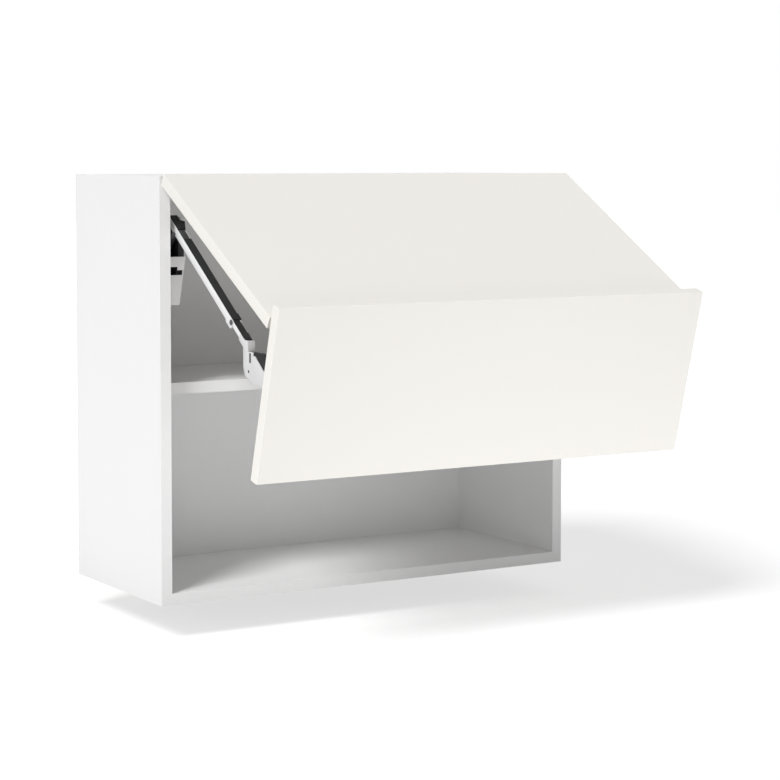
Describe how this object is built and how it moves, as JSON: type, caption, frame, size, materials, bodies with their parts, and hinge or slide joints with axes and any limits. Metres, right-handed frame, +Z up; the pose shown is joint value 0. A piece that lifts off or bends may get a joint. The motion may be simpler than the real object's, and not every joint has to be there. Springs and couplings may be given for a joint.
{
  "type": "lift up wall cabinet",
  "caption": "Wall cabinet with an open carcass and one shelf, closed by an upper and a lower front that fold upwards together on side arms.",
  "frame": {"origin": "on the wall plane, at the middle of the carcass's lower rear edge", "axes": "+X to the right seen from the front, +Y towards the wall, +Z up"},
  "size_m": [0.8, 0.738, 0.7059],
  "materials": {
    "carcass_board": "white melamine-faced chipboard with a fine matt texture",
    "back_board": "thin white-faced fibreboard",
    "edge_band": "matt white edge band",
    "front_board": "smooth warm off-white matt lacquered board",
    "hinge_steel": "nickel-plated pressed steel",
    "pin_steel": "plain turned steel",
    "screw_steel": "zinc-plated steel",
    "lift_base_steel": "light grey coated sheet steel",
    "lift_housing_black": "black moulded plastic",
    "lift_cover_grey": "light grey moulded plastic cover",
    "spring_steel": "dark spring steel",
    "arm_aluminium": "satin light grey profile",
    "arm_steel": "light grey coated steel plate",
    "lever_steel": "dark grey phosphated steel",
    "arm_black": "black moulded plastic",
    "dowel_wood": "plain beech",
    "hanger_plastic": "white moulded plastic",
    "hanger_steel": "zinc-plated steel",
    "buffer_rubber": "soft pale rubber"
  },
  "bodies": {
    "carcass": {"back_panel": "back_board", "bottom_panel": "carcass_board", "carcass_dowels": "dowel_wood", "front_edge_bands": "edge_band", "hanger_adjusting_screws": "hanger_steel", "hanger_cover_caps": "hanger_plastic", "hanger_hooks": "hanger_steel", "left_lift_axle": "pin_steel", "left_lift_base_plate": "lift_base_steel", "left_lift_cover": "lift_cover_grey", "left_lift_housing": "lift_housing_black", "left_power_adjuster": "arm_black", "left_side_panel": "carcass_board", "left_spring_pack": "spring_steel", "lift_unit_screws": "screw_steel", "right_lift_axle": "pin_steel", "right_lift_base_plate": "lift_base_steel", "right_lift_cover": "lift_cover_grey", "right_lift_housing": "lift_housing_black", "right_power_adjuster": "arm_black", "right_side_panel": "carcass_board", "right_spring_pack": "spring_steel", "shelf": "carcass_board", "shelf_pins": "pin_steel", "top_hinge_arms": "hinge_steel", "top_hinge_plate_screws": "screw_steel", "top_hinge_plates": "hinge_steel", "top_panel": "carcass_board", "wall_hangers": "hanger_plastic"},
    "upper_front": {"upper_front_panel": "front_board", "top_hinge_cups": "hinge_steel", "top_hinge_pins": "pin_steel", "centre_hinge_arms": "hinge_steel", "centre_hinge_arm_screws": "screw_steel"},
    "centre_hinge_links": {"centre_hinge_links": "hinge_steel", "centre_hinge_link_pins": "pin_steel"},
    "lower_front": {"lower_front_panel": "front_board", "centre_hinge_cups": "hinge_steel", "centre_hinge_cup_pins": "pin_steel", "arm_brackets": "hinge_steel", "arm_bracket_screws": "screw_steel", "front_buffers": "buffer_rubber"},
    "left_arm": {"left_arm_clamp_screw": "lever_steel", "left_arm_end_block": "arm_black", "left_arm_end_plate": "arm_steel", "left_arm_inner_profile": "arm_aluminium", "left_arm_insert": "arm_black", "left_arm_lever": "lever_steel", "left_arm_outer_profile": "arm_aluminium", "left_arm_pivot_pin": "pin_steel"},
    "right_arm": {"right_arm_clamp_screw": "lever_steel", "right_arm_end_block": "arm_black", "right_arm_end_plate": "arm_steel", "right_arm_inner_profile": "arm_aluminium", "right_arm_insert": "arm_black", "right_arm_lever": "lever_steel", "right_arm_outer_profile": "arm_aluminium", "right_arm_pivot_pin": "pin_steel"}
  },
  "joints": [
    {"name": "front_lift", "type": "hinge", "parent": "carcass", "child": "upper_front", "pos_m": [0, -0.35, 0.696], "axis": [-1, 0, 0], "range_deg": [-60, 4]},
    {"name": "centre_link", "type": "hinge", "parent": "upper_front", "child": "centre_hinge_links", "pos_m": [0, -0.68105, 0.48639], "axis": [1, 0, 0], "range_deg": [-3, 45]},
    {"name": "lower_fold", "type": "hinge", "parent": "centre_hinge_links", "child": "lower_front", "pos_m": [0, -0.71668, 0.50215], "axis": [1, 0, 0], "range_deg": [-120, 8]},
    {"name": "left_arm_swing", "type": "hinge", "parent": "carcass", "child": "left_arm", "pos_m": [0, -0.283, 0.595], "axis": [-1, 0, 0], "range_deg": [-60, 4]},
    {"name": "right_arm_swing", "type": "hinge", "parent": "carcass", "child": "right_arm", "pos_m": [0, -0.283, 0.595], "axis": [-1, 0, 0], "range_deg": [-60, 4]}
  ],
  "couplings": [
    {"joint": "centre_link", "follows": "front_lift", "ratio": -0.75},
    {"joint": "lower_fold", "follows": "front_lift", "ratio": 2},
    {"joint": "left_arm_swing", "follows": "front_lift", "ratio": 1},
    {"joint": "right_arm_swing", "follows": "front_lift", "ratio": 1}
  ]
}
